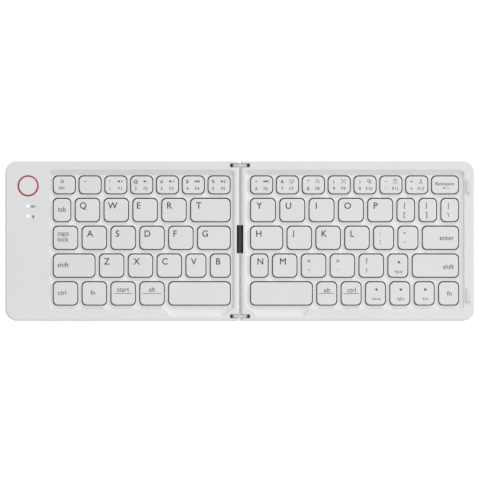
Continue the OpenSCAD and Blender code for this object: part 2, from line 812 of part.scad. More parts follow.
module usb_c_socket() color(metal_colour) on_side(-1)
    translate([port_out - port_l, port_y, port_z]) rotate([90, 0, 90]) {
        linear_extrude(1) pill(port_w, port_h);
        linear_extrude(port_l) difference() {
            pill(port_w, port_h);
            pill(port_w - 2 * port_wall, port_h - 2 * port_wall);
        }
        translate([0, 0, 2.7]) cube([6.69, 0.7, 3.6], center = true);
    }

module connect_button() color(case_colour) on_side(-1) translate([button_u, button_y, 0]) {
    stem_bottom = board_top + 1.7 + button_travel + 0.15;
    flange_bottom = roof_bottom - 0.8;
    translate([0, 0, flange_bottom]) cylinder(r = button_r, h = rim_top + 0.3 - flange_bottom);
    translate([0, 0, flange_bottom]) cylinder(r = button_r + 0.95, h = 0.5);
    translate([0, 0, stem_bottom]) cylinder(r = 1.5, h = flange_bottom - stem_bottom + eps);
}

module button_ring() color(red_colour) on_side(-1) translate([button_u, button_y, ring_bottom])
    linear_extrude(rim_top + ring_rise - ring_bottom) difference() {
        circle(ring_r);
        circle(ring_r - ring_w);
    }

module indicator_lenses() color([0.98, 0.98, 0.98]) on_side(-1) for (y = lens_ys)
    translate([button_u, y, 0]) {
        translate([0, 0, board_top + 0.8]) cylinder(r = lens_r, h = rim_top + 0.02 - board_top - 0.8);
        translate([0, 0, roof_bottom - 0.5]) cylinder(r = lens_r + 0.4, h = 0.5);
    }

// ---- Feet, bumpers, magnets and screws ----

module feet(side) color([0.25, 0.25, 0.26]) on_side(side) at_feet()
    linear_extrude(foot_h + foot_sink) pill(foot_l, foot_w);
module left_feet() feet(-1);
module right_feet() feet(1);

module bumpers() color([0.8, 0.8, 0.8]) for (y = [-1, 1])
    translate([bumper_u, y * bumper_y, rim_top - bumper_sink])
        linear_extrude(bumper_sink + bumper_h) rotate(90) pill(bumper_l, bumper_w);

module magnets(side) color([0.7, 0.7, 0.72]) on_side(side) at_magnets()
    translate([-magnet_w / 2, -magnet_l / 2, web_bottom - magnet_t])
        cube([magnet_w, magnet_l, magnet_t]);
module left_magnets() magnets(-1);
module right_magnets() magnets(1);

module screws(side) color([0.6, 0.6, 0.62]) on_side(side) at_screws() {
    head_z = case_bottom + screw_sink;
    translate([0, 0, head_z]) difference() {
        cylinder(r = screw_head_r, h = screw_head_h);
        translate([0, 0, -eps]) cylinder(r = 0.5, h = 0.25, $fn = 6);
    }
    translate([0, 0, head_z + screw_head_h - eps])
        cylinder(r = screw_r, h = web_bottom - 0.4 - head_z - screw_head_h);
}
module left_screws() screws(-1);
module right_screws() screws(1);

left_top_case();
left_bottom_case();
right_top_case();
right_bottom_case();
left_support_plate();
right_support_plate();
left_membrane();
right_membrane();
left_domes();
right_domes();
left_scissors();
right_scissors();
hinge_links();
left_hinge_pins();
right_hinge_pins();
flex_cable();
left_flex_tail();
right_flex_tail();
main_board();
board_components();
battery();
usb_c_socket();
connect_button();
button_ring();
indicator_lenses();
left_feet();
right_feet();
bumpers();
left_magnets();
right_magnets();
left_screws();
right_screws();
key_esc();
keys_number_left();
key_tab();
keys_top_left();
key_caps_lock();
keys_home_left();
key_shift_left();
keys_lower_left();
key_ctrl_left();
key_fn_left();
key_start();
key_alt_left();
key_space_left();
keys_number_right();
key_backspace();
keys_top_right();
keys_home_right();
key_enter();
keys_lower_right();
key_up();
key_shift_right();
key_space_right();
key_alt_right();
key_ctrl_right();
key_left();
key_down();
key_right();
key_fn_right();
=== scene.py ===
import math

import bmesh
import bpy
from mathutils import Matrix, Vector


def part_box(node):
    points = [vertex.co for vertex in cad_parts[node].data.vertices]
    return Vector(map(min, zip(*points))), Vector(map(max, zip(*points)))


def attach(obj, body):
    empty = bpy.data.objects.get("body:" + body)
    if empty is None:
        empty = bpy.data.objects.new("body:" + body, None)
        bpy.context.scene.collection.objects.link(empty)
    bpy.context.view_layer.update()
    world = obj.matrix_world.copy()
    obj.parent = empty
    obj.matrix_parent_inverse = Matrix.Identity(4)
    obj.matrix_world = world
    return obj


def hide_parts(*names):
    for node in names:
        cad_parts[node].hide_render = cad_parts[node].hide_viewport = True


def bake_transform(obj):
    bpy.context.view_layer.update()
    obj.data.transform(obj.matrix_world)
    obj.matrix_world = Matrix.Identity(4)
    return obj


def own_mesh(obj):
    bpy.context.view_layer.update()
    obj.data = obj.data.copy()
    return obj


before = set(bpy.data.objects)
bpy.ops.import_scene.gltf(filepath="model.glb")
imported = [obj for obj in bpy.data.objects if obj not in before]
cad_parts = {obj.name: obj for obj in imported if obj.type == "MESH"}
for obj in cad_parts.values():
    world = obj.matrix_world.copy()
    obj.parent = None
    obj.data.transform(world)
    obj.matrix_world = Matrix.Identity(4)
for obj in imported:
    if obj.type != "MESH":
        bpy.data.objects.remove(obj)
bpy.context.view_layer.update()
mm = 0.001    # sizes are in mm and meet this, but the floor's and the lamps' are in metres

leftKeyNodes = [
    "key_esc", "keys_number_left", "key_tab", "keys_top_left", "key_caps_lock", "keys_home_left",
    "key_shift_left", "keys_lower_left", "key_ctrl_left", "key_fn_left", "key_start",
    "key_alt_left", "key_space_left"]
rightKeyNodes = [
    "keys_number_right", "key_backspace", "keys_top_right", "keys_home_right", "key_enter",
    "keys_lower_right", "key_up", "key_shift_right", "key_space_right", "key_alt_right",
    "key_ctrl_right", "key_left", "key_down", "key_right", "key_fn_right"]


# materials

# a colour as it shows on a screen, turned into what a shader takes
def toLinear(shade):
    return tuple(c / 12.92 if c <= 0.04045 else ((c + 0.055) / 1.055) ** 2.4 for c in shade) + (1.0,)


def newMaterial(name):
    mat = bpy.data.materials.new(name)
    mat.use_nodes = True
    tree = mat.node_tree
    return mat, tree.nodes, tree.links, tree.nodes["Principled BSDF"]


def objectSpace(nodes, links, stretch=(1, 1, 1)):
    coords = nodes.new("ShaderNodeTexCoord")
    place = nodes.new("ShaderNodeMapping")
    place.inputs["Scale"].default_value = stretch
    links.new(coords.outputs["Object"], place.inputs["Vector"])
    return place.outputs["Vector"]


# all noise lies mostly between low and high
noise = dict(rough=0.55, low=0.3, high=0.7, fineDetail=3, broadDetail=2, bump=0.5)


# size is the width of one grain in mm
def noiseAt(nodes, links, vector, size, detail):
    grain = nodes.new("ShaderNodeTexNoise")
    grain.inputs["Scale"].default_value = 1 / (size * mm)
    grain.inputs["Detail"].default_value = detail
    grain.inputs["Roughness"].default_value = noise["rough"]
    links.new(vector, grain.inputs["Vector"])
    return grain.outputs["Fac"]


# takes noise to the range from low to high
def spread(nodes, links, source, low, high):
    span = nodes.new("ShaderNodeMapRange")
    span.inputs["From Min"].default_value = noise["low"]
    span.inputs["From Max"].default_value = noise["high"]
    span.inputs["To Min"].default_value = low
    span.inputs["To Max"].default_value = high
    links.new(source, span.inputs["Value"])
    return span.outputs["Result"]


paintedBorderShade = dict(shade=(0.04, 0.04, 0.045), blur=0.1)


# painted shade: darker where the piece lies further than reach from the seam's middle, standing in for
# the shade in the gaps beside the cable
def paintShadeAtBorders(nodes, links, base, reach):
    parts = nodes.new("ShaderNodeSeparateXYZ")
    links.new(objectSpace(nodes, links), parts.inputs["Vector"])
    away = nodes.new("ShaderNodeMath")
    away.operation = "ABSOLUTE"
    links.new(parts.outputs["X"], away.inputs[0])
    step = nodes.new("ShaderNodeMapRange")
    step.inputs["From Min"].default_value = (reach - paintedBorderShade["blur"]) * mm
    step.inputs["From Max"].default_value = (reach + paintedBorderShade["blur"]) * mm
    links.new(away.outputs["Value"], step.inputs["Value"])
    tint = nodes.new("ShaderNodeMix")
    tint.data_type = "RGBA"
    tint.inputs["B"].default_value = toLinear(paintedBorderShade["shade"])
    links.new(base, tint.inputs["A"])
    links.new(step.outputs["Result"], tint.inputs["Factor"])
    return tint.outputs["Result"]


# colour drifts to shade in wide blotches, and the fine grain moves roughness and height
def grainyFinish(name, look):
    mat, nodes, links, shader = newMaterial(name)
    vector = objectSpace(nodes, links, look.get("stretch", (1, 1, 1)))
    fine = noiseAt(nodes, links, vector, look["grain"], noise["fineDetail"])
    broad = noiseAt(nodes, links, objectSpace(nodes, links), look["blotch"], noise["broadDetail"])
    tint = nodes.new("ShaderNodeMix")
    tint.data_type = "RGBA"
    tint.inputs["A"].default_value = toLinear(look["colour"])
    tint.inputs["B"].default_value = toLinear(look["shade"])
    links.new(spread(nodes, links, broad, 0, 1), tint.inputs["Factor"])
    base = tint.outputs["Result"]
    # painted shade along the cable's borders
    if "paintedShadeAt" in look:
        base = paintShadeAtBorders(nodes, links, base, look["paintedShadeAt"])
    links.new(base, shader.inputs["Base Color"])
    low, high = look["rough"]
    links.new(spread(nodes, links, fine, low, high), shader.inputs["Roughness"])
    shader.inputs["Metallic"].default_value = look.get("metal", 0.0)
    shader.inputs["Specular IOR Level"].default_value = look.get("specular", 0.5)
    shader.inputs["Coat Weight"].default_value = look.get("coat", 0.0)
    shader.inputs["Emission Color"].default_value = toLinear(look["colour"])
    shader.inputs["Emission Strength"].default_value = look.get("lit", 0.0)
    bump = nodes.new("ShaderNodeBump")
    bump.inputs["Strength"].default_value = noise["bump"]
    bump.inputs["Distance"].default_value = look["depth"] * mm
    links.new(fine, bump.inputs["Height"])
    links.new(bump.outputs["Normal"], shader.inputs["Normal"])
    return mat


# grain, blotch and depth in mm, rough from the smoothest to the roughest grain
finishes = {
    "casePlastic": dict(colour=(0.868, 0.868, 0.872), shade=(0.856, 0.857, 0.862), rough=(0.42, 0.56),
                        grain=0.28, blotch=24, depth=0.012, specular=0.35),
    # painted light: a paler copy of the case plastic for the floor of the well, making up for the shade
    # the keycaps cast on it
    "webPlasticPaintedLight": dict(colour=(0.900, 0.900, 0.904), shade=(0.888, 0.889, 0.894), rough=(0.42, 0.56),
                       grain=0.28, blotch=24, depth=0.012, specular=0.35),
    "keyPlastic": dict(colour=(0.860, 0.860, 0.862), shade=(0.850, 0.851, 0.854), rough=(0.38, 0.5),
                       grain=0.22, blotch=30, depth=0.008, specular=0.35),
    "inkGrey": dict(colour=(0.22, 0.22, 0.23), shade=(0.25, 0.25, 0.26), rough=(0.5, 0.65),
                    grain=0.2, blotch=8, depth=0.004, specular=0.3),
    "linkSteel": dict(colour=(0.81, 0.81, 0.82), shade=(0.75, 0.75, 0.76), rough=(0.32, 0.46),
                      grain=0.6, blotch=6, depth=0.006, stretch=(0.08, 1, 1), metal=0.8),
    "plateSteel": dict(colour=(0.66, 0.67, 0.69), shade=(0.60, 0.61, 0.63), rough=(0.3, 0.5), metal=1.0,
                       grain=0.8, blotch=14, depth=0.006, stretch=(1, 0.08, 1)),
    "pinSteel": dict(colour=(0.55, 0.56, 0.58), shade=(0.48, 0.49, 0.51), rough=(0.22, 0.36), metal=1.0,
                     grain=0.4, blotch=3, depth=0.004, stretch=(1, 0.1, 1)),
    "redRing": dict(colour=(0.76, 0.07, 0.14), shade=(0.68, 0.06, 0.12), rough=(0.18, 0.28),
                    grain=0.5, blotch=5, depth=0.004, coat=0.4),
    "milkyLens": dict(colour=(0.98, 0.98, 0.99), shade=(0.94, 0.95, 0.97), rough=(0.12, 0.22),
                      grain=0.4, blotch=2, depth=0.002, coat=0.3, lit=0.3),
    "footRubber": dict(colour=(0.30, 0.30, 0.31), shade=(0.26, 0.26, 0.27), rough=(0.68, 0.85),
                       grain=0.35, blotch=9, depth=0.03, specular=0.25),
    "bumperRubber": dict(colour=(0.845, 0.845, 0.85), shade=(0.825, 0.827, 0.83), rough=(0.6, 0.78),
                         grain=0.3, blotch=6, depth=0.015, specular=0.3),
    "domeRubber": dict(colour=(0.90, 0.90, 0.88), shade=(0.85, 0.85, 0.83), rough=(0.4, 0.55),
                       grain=0.4, blotch=3, depth=0.01),
    "scissorPlastic": dict(colour=(0.93, 0.93, 0.92), shade=(0.89, 0.89, 0.88), rough=(0.3, 0.45),
                           grain=0.3, blotch=5, depth=0.006),
    # painted shade: the membrane's near-black tone darkens the gaps around the keys, where shade falls
    "membraneFilm": dict(colour=(0.17, 0.17, 0.18), shade=(0.22, 0.22, 0.23), rough=(0.3, 0.45),
                         grain=0.9, blotch=12, depth=0.01),
    # painted light: the cable's grey is lighter than the real black film and stands in for the light on
    # the loop in the seam
    "cableFilm": dict(colour=(0.41, 0.41, 0.415), shade=(0.34, 0.34, 0.345), rough=(0.35, 0.5),
                      grain=0.5, blotch=2.5, depth=0.01, stretch=(0.15, 1, 1), paintedShadeAt=1.2,
                      specular=0.15),
    "boardGreen": dict(colour=(0.06, 0.26, 0.15), shade=(0.04, 0.2, 0.11), rough=(0.25, 0.4),
                       grain=0.7, blotch=3, depth=0.015),
    "chipBlack": dict(colour=(0.10, 0.10, 0.105), shade=(0.14, 0.14, 0.145), rough=(0.45, 0.6),
                      grain=0.25, blotch=3, depth=0.01),
    "pouchFoil": dict(colour=(0.78, 0.79, 0.81), shade=(0.72, 0.73, 0.75), rough=(0.3, 0.5), metal=0.8,
                      grain=1.4, blotch=8, depth=0.05),
    "magnetNickel": dict(colour=(0.76, 0.75, 0.74), shade=(0.68, 0.68, 0.67), rough=(0.15, 0.28),
                         metal=1.0, grain=0.6, blotch=4, depth=0.004),
}
material = {}
for finishName, look in finishes.items():
    material[finishName] = grainyFinish(finishName, look)
print("materials:", len(material))


# helpers for meshes and pieces

# a copy of a node's mesh, with its loose triangles joined
def nodeMesh(node):
    bm = bmesh.new()
    bm.from_mesh(bpy.data.objects[node].data)
    bmesh.ops.remove_doubles(bm, verts=bm.verts, dist=0.0005 * mm)
    return bm


# the separate solids of a mesh, each as a list of its vertices
def islandsOf(bm):
    seen, islands = set(), []
    for start in bm.verts:
        if start in seen:
            continue
        seen.add(start)
        island, waiting = [], [start]
        while waiting:
            vert = waiting.pop()
            island.append(vert)
            for edge in vert.link_edges:
                other = edge.other_vert(vert)
                if other not in seen:
                    seen.add(other)
                    waiting.append(other)
        islands.append(island)
    return islands


def boxOf(verts):
    low = Vector([min(v.co[i] for v in verts) for i in range(3)])
    high = Vector([max(v.co[i] for v in verts) for i in range(3)])
    return low, high


def smoothByAngle(bm, angle):
    for face in bm.faces:
        face.smooth = True
    for edge in bm.edges:
        edge.smooth = edge.is_manifold and edge.calc_face_angle(math.pi) < math.radians(angle)


# finish is one name or a list, body is None for a piece that blends
def addPiece(name, bm, finish, body, nodes=()):
    mesh = bpy.data.meshes.new(name)
    bm.to_mesh(mesh)
    bm.free()
    for one in [finish] if isinstance(finish, str) else finish:
        mesh.materials.append(material[one])
    piece = bpy.data.objects.new(name, mesh)
    bpy.context.scene.collection.objects.link(piece)
    if body:
        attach(piece, body)
    if nodes:
        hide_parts(*nodes)
    return piece


def joinedName(label, node):
    return label + "".join(word.capitalize() for word in node.split("_"))


def evenShading(piece):
    shading = piece.modifiers.new("evenShading", "WEIGHTED_NORMAL")
    shading.keep_sharp = True
    return piece


def dress(node, finish):
    mesh = bpy.data.objects[node].data
    mesh.materials.clear()
    mesh.materials.append(material[finish])


def bevelEdges(bm, edges, width, segments):
    bmesh.ops.bevel(bm, geom=edges, offset=width * mm, offset_type="OFFSET", segments=segments,
                    profile=0.5, affect="EDGES", clamp_overlap=True, material=-1)


def addBox(bm, low, high):
    made = bmesh.ops.create_cube(bm, size=1)["verts"]
    size = Vector(high) - Vector(low)
    middle = (Vector(high) + Vector(low)) / 2
    bmesh.ops.scale(bm, vec=size, verts=made)
    bmesh.ops.translate(bm, vec=middle, verts=made)
    return made


# shells and small hard parts, softened from the frame's own shapes

well = dict(depth=1.6, cornerR=2.6, cornerSteps=6, rimEdge=0.8, rimSteps=4, seamEdge=3.25,
            outerRim=6, backRim=47.5, hingeX=6.5, hingeY=45.4, slant=0.3, shortest=0.05,
            foldFrom=0.3)    # foldFrom in radians


# rounds the corners of the key well and the rim around it and the thumb notch
def roundWell(bm, node):
    low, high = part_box(node)
    top = high.z
    outer = max(abs(low.x), abs(high.x))
    floorZ = top - well["depth"] * mm

    def joins(edge, z1, z2):
        zs = sorted(v.co.z for v in edge.verts)
        return abs(zs[0] - z1) < 0.01 * mm and abs(zs[1] - z2) < 0.01 * mm

    def slants(edge):
        a, b = (v.co for v in edge.verts)
        return abs(a.x - b.x) > well["slant"] * mm and abs(a.y - b.y) > well["slant"] * mm

    corners = [e for e in bm.edges if joins(e, floorZ, top) and slants(e)]
    bmesh.ops.bevel(bm, geom=corners, offset=well["cornerR"] * mm, offset_type="WIDTH",
                    segments=well["cornerSteps"], profile=0.5, affect="EDGES", clamp_overlap=True,
                    material=-1)
    rim = []
    for edge in bm.edges:
        middle = (edge.verts[0].co + edge.verts[1].co) / 2
        x, y = abs(middle.x) / mm, abs(middle.y) / mm
        inside = well["seamEdge"] < x < outer / mm - well["outerRim"] and y < well["backRim"]
        byHinge = x < well["hingeX"] and y > well["hingeY"]
        if joins(edge, top, top) and inside and not byHinge and edge.is_manifold:
            folded = edge.calc_face_angle() > well["foldFrom"]
            longEnough = edge.calc_length() > well["shortest"] * mm
            if folded and longEnough and not nearRound(middle, node):
                rim.append(edge)
    bevelEdges(bm, rim, well["rimEdge"], well["rimSteps"])
    for face in bm.faces:
        # painted light: the well's floor takes the paler web plastic, making up for the shade the
        # keycaps cast on it
        if face.normal.z > 0.9 and abs(face.calc_center_median().z - floorZ) < 0.05 * mm:
            face.material_index = 1    # the floor of the well is a little paler
    print(node, "well corners", len(corners), "rim edges", len(rim))


# the round places in the rim that other pieces fill keep their sharp edge
def nearRound(middle, node):
    others = ["button_ring", "indicator_lenses"] if node.startswith("left") else ["bumpers"]
    for other in others:
        low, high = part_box(other)
        if low.x - mm < middle.x < high.x + mm and low.y - mm < middle.y < high.y + mm:
            return True
    return False


# a node's mesh with its triangles joined into flat faces
def flatMesh(node):
    bm = nodeMesh(node)
    bmesh.ops.dissolve_limit(bm, angle_limit=math.radians(soft["flatWithin"]), verts=bm.verts,
                             edges=bm.edges)
    return bm


def softened(node, name, finish, body, slot, width, segments):
    bm = flatMesh(node)
    if node.endswith("top_case"):
        roundWell(bm, node)
    least = math.radians(soft["sharpFrom"])
    sharp = [e for e in bm.edges if e.is_manifold and e.calc_face_angle() > least]
    bevelEdges(bm, sharp, width, segments)
    smoothByAngle(bm, soft["creaseFrom"])
    return evenShading(addPiece(name, bm, finish, body, [node]))


soft = dict(sharpFrom=20, creaseFrom=50, flatWithin=0.3)    # degrees
shellFinish = ["casePlastic", "webPlasticPaintedLight"]
# node, piece, finish, body, slot, width of the softened edges, their steps
softParts = [
    ("left_top_case", "leftUpperShell", shellFinish, "left_half", "case", 0.14, 2),
    ("right_top_case", "rightUpperShell", shellFinish, "right_half", "case", 0.14, 2),
    ("left_bottom_case", "leftLowerShell", "casePlastic", "left_half", "case", 0.12, 2),
    ("right_bottom_case", "rightLowerShell", "casePlastic", "right_half", "case", 0.12, 2),
    ("hinge_links", "linkPlates", "linkSteel", "hinge_links", "steel", 0.18, 3),
    ("left_hinge_pins", "leftPins", "pinSteel", "left_half", "steel", 0.1, 2),
    ("right_hinge_pins", "rightPins", "pinSteel", "right_half", "steel", 0.1, 2),
    ("button_ring", "redButtonRing", "redRing", "left_half", "red_ring", 0.16, 3),
    ("indicator_lenses", "whiteLenses", "milkyLens", "left_half", "lens", 0.12, 2),
    ("left_feet", "leftFootStrips", "footRubber", "left_half", "rubber_foot", 0.25, 3),
    ("right_feet", "rightFootStrips", "footRubber", "right_half", "rubber_foot", 0.25, 3),
    ("bumpers", "rimBumpers", "bumperRubber", "right_half", "rubber_bumper", 0.5, 4),
    ("usb_c_socket", "portShell", "linkSteel", "left_half", "steel", 0.06, 2),
]
for part in softParts:
    softened(*part)
print("softened parts:", len(softParts))

# nodes whose own shape is right
plainNodes = {
    "left_support_plate": "plateSteel", "right_support_plate": "plateSteel",
    "left_membrane": "membraneFilm", "right_membrane": "membraneFilm",
    "left_flex_tail": "cableFilm", "right_flex_tail": "cableFilm",
    "main_board": "boardGreen", "board_components": "chipBlack", "battery": "pouchFoil",
    "left_magnets": "magnetNickel", "right_magnets": "magnetNickel",
    "left_screws": "pinSteel", "right_screws": "pinSteel",
}
for node, finish in plainNodes.items():
    dress(node, finish)


# keycaps

cap = dict(cornerR=2.7, cornerSteps=8, edge=0.42, edgeSteps=4, skirt=0.6, top=0.9, height=2.3,
           lip=0.08, flatRim=0.3, stemR=1.1, stemL=1.02, barW=3.2, barD=0.45, barH=0.12, barAt=2.0,
           shyX=0.08, shyFront=0.06, shyBack=0.2, stemSides=20, stemSunk=0.02, barSunk=0.1,
           creaseFrom=40)


# lowest and highest corner of each cap in a node, from left to right
def keyBoxes(node):
    bm = nodeMesh(node)
    boxes = sorted((boxOf(island) for island in islandsOf(bm)), key=lambda b: b[0].x)
    bm.free()
    return boxes


# a hollow cap with rounded corners and edge, its stem, and on two keys a bar to feel
def addKeycap(bm, low, high, homing):
    top = high.z
    bottom = top - cap["height"] * mm
    block = bmesh.new()
    addBox(block, (low.x + cap["shyX"] * mm, low.y + cap["shyFront"] * mm, bottom),
           (high.x - cap["shyX"] * mm, high.y - cap["shyBack"] * mm, top))
    upright = [e for e in block.edges if abs(e.verts[0].co.z - e.verts[1].co.z) > 0.5 * mm]
    bevelEdges(block, upright, cap["cornerR"], cap["cornerSteps"])
    under = min(block.faces, key=lambda f: f.calc_center_median().z)
    bmesh.ops.inset_region(block, faces=[under], thickness=cap["skirt"] * mm, depth=0,
                           use_even_offset=True, use_boundary=True)
    bmesh.ops.translate(block, vec=(0, 0, (cap["height"] - cap["top"]) * mm), verts=under.verts)
    rim = [e for e in block.edges if all(abs(v.co.z - top) < 0.001 * mm for v in e.verts)]
    bevelEdges(block, rim, cap["edge"], cap["edgeSteps"])
    upper = max(block.faces, key=lambda f: (round(f.calc_center_median().z, 6), f.calc_area()))
    bmesh.ops.inset_region(block, faces=[upper], thickness=cap["flatRim"] * mm, depth=0,
                           use_even_offset=True, use_boundary=True)
    lip = [e for e in block.edges if all(abs(v.co.z - bottom) < 0.001 * mm for v in e.verts)]
    bevelEdges(block, lip, cap["lip"], 1)
    middle = (low + high) / 2
    stem = bmesh.ops.create_cone(block, cap_ends=True, segments=cap["stemSides"],
                                 radius1=cap["stemR"] * mm, radius2=cap["stemR"] * mm,
                                 depth=cap["stemL"] * mm)["verts"]
    stemZ = top - (cap["top"] + cap["stemL"] / 2 - cap["stemSunk"]) * mm
    bmesh.ops.translate(block, vec=(middle.x, middle.y, stemZ), verts=stem)
    if homing:
        reach = cap["barW"] / 2 * mm
        front = low.y + cap["barAt"] * mm
        bar = addBox(block, (middle.x - reach, front, top - cap["barSunk"] * mm),
                     (middle.x + reach, front + cap["barD"] * mm, top + cap["barH"] * mm))
        crest = [e for e in block.edges if all(v in bar and v.co.z > top for v in e.verts)]
        bevelEdges(block, crest, cap["lip"], 2)
    smoothByAngle(block, cap["creaseFrom"])
    holder = bpy.data.meshes.new("capDraft")
    block.to_mesh(holder)
    block.free()
    bm.from_mesh(holder)
    bpy.data.meshes.remove(holder)


homingKeys = {("keys_home_left", 3), ("keys_home_right", 1)}
capBoxes = {}
for node in leftKeyNodes + rightKeyNodes:
    capBoxes[node] = keyBoxes(node)
    bm = bmesh.new()
    for index, (low, high) in enumerate(capBoxes[node]):
        addKeycap(bm, low, high, (node, index) in homingKeys)
    evenShading(addPiece(joinedName("caps", node), bm, "keyPlastic", node, [node]))
print("keycaps:", sum(len(boxes) for boxes in capBoxes.values()))


# legends, printed just proud of the key tops, with sizes in mm

legend = dict(thick=0.018, proud=0.010, letter=3.85, small=2.05, word=2.95, tiny=1.55, fine=2.8,
              letterWide=0.99, wordWide=0.96, bold=0.011, wordBold=0.004, line=0.3, signs=1.2,
              arrows=1.4, curveSteps=4)
# how far each kind of mark lies from the key's back edge
level = dict(upper=3.3, lower=7.75, sign=3.25, pairUpper=4.2, pairLower=9.9, rule=7.2, arrow=4.7,
             arrowWord=10.5)


def textMesh(words, bold=0):
    curve = bpy.data.curves.new("legendDraft", "FONT")
    curve.body = words
    curve.bevel_depth = bold
    curve.bevel_resolution = 0
    curve.resolution_u = legend["curveSteps"]
    curve.extrude = 0.5
    draft = bpy.data.objects.new("legendDraft", curve)
    bpy.context.scene.collection.objects.link(draft)
    seen = draft.evaluated_get(bpy.context.evaluated_depsgraph_get())
    mesh = bpy.data.meshes.new_from_object(seen)
    bpy.data.objects.remove(draft)
    bpy.data.curves.remove(curve)
    return mesh


def heightOf(mesh):
    return max(v.co.y for v in mesh.vertices) - min(v.co.y for v in mesh.vertices)


sample = textMesh("H")
capHeight = heightOf(sample)
bpy.data.meshes.remove(sample)


# x and y are in mm from the left and back edge of the key, y at the middle of a capital
def inkText(bm, corner, words, tall, x, y, align="CENTER", centred=False):
    single = len(words) == 1
    mesh = textMesh(words, legend["bold"] if single else legend["wordBold"])
    wide = legend["letterWide"] if single else legend["wordWide"]
    scale = tall * mm / capHeight
    low, high = boxOf(mesh.vertices)
    shift = {"LEFT": low.x, "CENTER": (low.x + high.x) / 2, "RIGHT": high.x}[align]
    middle = (low.y + high.y) / 2 if centred else capHeight / 2
    place = (Matrix.Translation(corner + Vector((x, -y, legend["proud"] - legend["thick"] / 2)) * mm)
             @ Matrix.Diagonal((scale * wide, scale, legend["thick"] * mm, 1))
             @ Matrix.Translation((-shift, -middle, 0)))
    mesh.transform(place)
    bm.from_mesh(mesh)
    bpy.data.meshes.remove(mesh)


# gives a flat sign the thickness of the print
def raiseInk(flat):
    faces = flat.faces[:]
    raised = bmesh.ops.extrude_face_region(flat, geom=faces, use_keep_orig=True)["geom"]
    tops = [v for v in raised if isinstance(v, bmesh.types.BMVert)]
    bmesh.ops.translate(flat, vec=(0, 0, legend["thick"]), verts=tops)
    bmesh.ops.recalc_face_normals(flat, faces=flat.faces)


def turnedAt(flat, verts, x, y, turn):
    spin = Matrix.Rotation(math.radians(turn), 3, "Z")
    bmesh.ops.rotate(flat, cent=(0, 0, 0), matrix=spin, verts=verts)
    bmesh.ops.translate(flat, vec=(x, y, 0), verts=verts)


# signs are drawn flat around their own middle, y towards the back of the keyboard
def inkBar(flat, x, y, wide, deep, turn=0):
    made = bmesh.ops.create_grid(flat, x_segments=1, y_segments=1, size=0.5)["verts"]
    bmesh.ops.scale(flat, vec=(wide, deep, 1), verts=made)
    turnedAt(flat, made, x, y, turn)


def inkRound(flat, x, y, radius, sides=16, turn=0, line=None):
    made = bmesh.ops.create_circle(flat, cap_ends=True, segments=sides, radius=radius)["verts"]
    turnedAt(flat, made, x, y, turn)
    if line:
        face = made[0].link_faces[0]
        bmesh.ops.inset_region(flat, faces=[face], thickness=line, use_even_offset=True,
                               use_boundary=True)
        bmesh.ops.delete(flat, geom=[face], context="FACES_ONLY")


def inkFrame(flat, x, y, wide, deep, line):
    for side in (-1, 1):
        inkBar(flat, x, y + side * (deep - line) / 2, wide, line)
        inkBar(flat, x + side * (wide - line) / 2, y, line, deep - 2 * line)


def speaker(flat, x):
    inkBar(flat, x - 0.55, 0, 0.5, 0.7)
    inkRound(flat, x - 0.1, 0, 0.8, 3, 90)


def muteSign(flat):
    speaker(flat, -0.4)
    inkBar(flat, 0.95, 0, 1.1, 0.22, 45)
    inkBar(flat, 0.95, 0, 1.1, 0.22, -45)


def softerSign(flat):
    speaker(flat, -0.4)
    inkBar(flat, 0.8, 0, 0.22, 0.9)


def louderSign(flat):
    speaker(flat, -0.5)
    inkBar(flat, 0.7, 0, 0.22, 0.9)
    inkBar(flat, 1.2, 0, 0.22, 1.5)


def backSign(flat):
    inkBar(flat, -1.35, 0, 0.22, 1.5)
    inkRound(flat, -0.45, 0, 0.8, 3, 90)
    inkRound(flat, 0.75, 0, 0.8, 3, 90)


def playSign(flat):
    inkRound(flat, -0.65, 0, 0.85, 3, -90)
    inkBar(flat, 0.55, 0, 0.26, 1.5)
    inkBar(flat, 1.1, 0, 0.26, 1.5)


def nextSign(flat):
    inkBar(flat, 1.35, 0, 0.22, 1.5)
    inkRound(flat, 0.45, 0, 0.8, 3, -90)
    inkRound(flat, -0.75, 0, 0.8, 3, -90)


def screenSign(flat):
    inkFrame(flat, 0, 0.15, 2.1, 1.4, 0.22)
    inkBar(flat, 0, -0.85, 1.1, 0.22)


def searchSign(flat):
    inkRound(flat, -0.2, 0.2, 0.85, 16, 0, 0.24)
    inkBar(flat, 0.75, -0.75, 0.9, 0.26, -45)


def selectSign(flat):
    inkFrame(flat, 0, 0, 1.1, 1.1, 0.22)
    for x in (-1, 1):
        for y in (-1, 1):
            inkBar(flat, x * 0.95, y * 0.95, 0.4, 0.4)


def copySign(flat):
    inkFrame(flat, -0.35, 0.3, 1.3, 1.5, 0.2)
    inkFrame(flat, 0.45, -0.35, 1.3, 1.5, 0.2)


def pasteSign(flat):
    inkFrame(flat, 0, -0.1, 1.6, 1.9, 0.2)
    inkBar(flat, 0, 0.95, 0.8, 0.4)


def cutSign(flat):
    for side in (-1, 1):
        inkBar(flat, 0, 0.25, 2.0, 0.2, 90 + side * 28)
        inkRound(flat, side * 0.6, -0.85, 0.4, 12, 0, 0.16)


def roundSign(flat):
    inkRound(flat, 0, 0, 0.85, 16, 0, 0.26)
    inkBar(flat, 0, 0, 0.6, 0.3)


def chargeSign(flat):
    inkFrame(flat, -0.1, 0, 1.9, 1.1, 0.2)
    inkBar(flat, 1.0, 0, 0.24, 0.5)
    inkBar(flat, -0.45, 0, 0.7, 0.5)


def capitalSign(flat):
    inkRound(flat, 0, 0.2, 0.7, 3, 0)
    inkBar(flat, 0, -0.45, 0.5, 0.45)
    inkBar(flat, 0, -0.9, 0.9, 0.2)


def eraseSign(flat):
    inkRound(flat, -1.5, 0, 0.75, 3, 90)
    inkBar(flat, 0.6, 0, 3.4, 0.26)


def upSign(flat):
    inkRound(flat, 0, 0, 0.85, 3, 0)


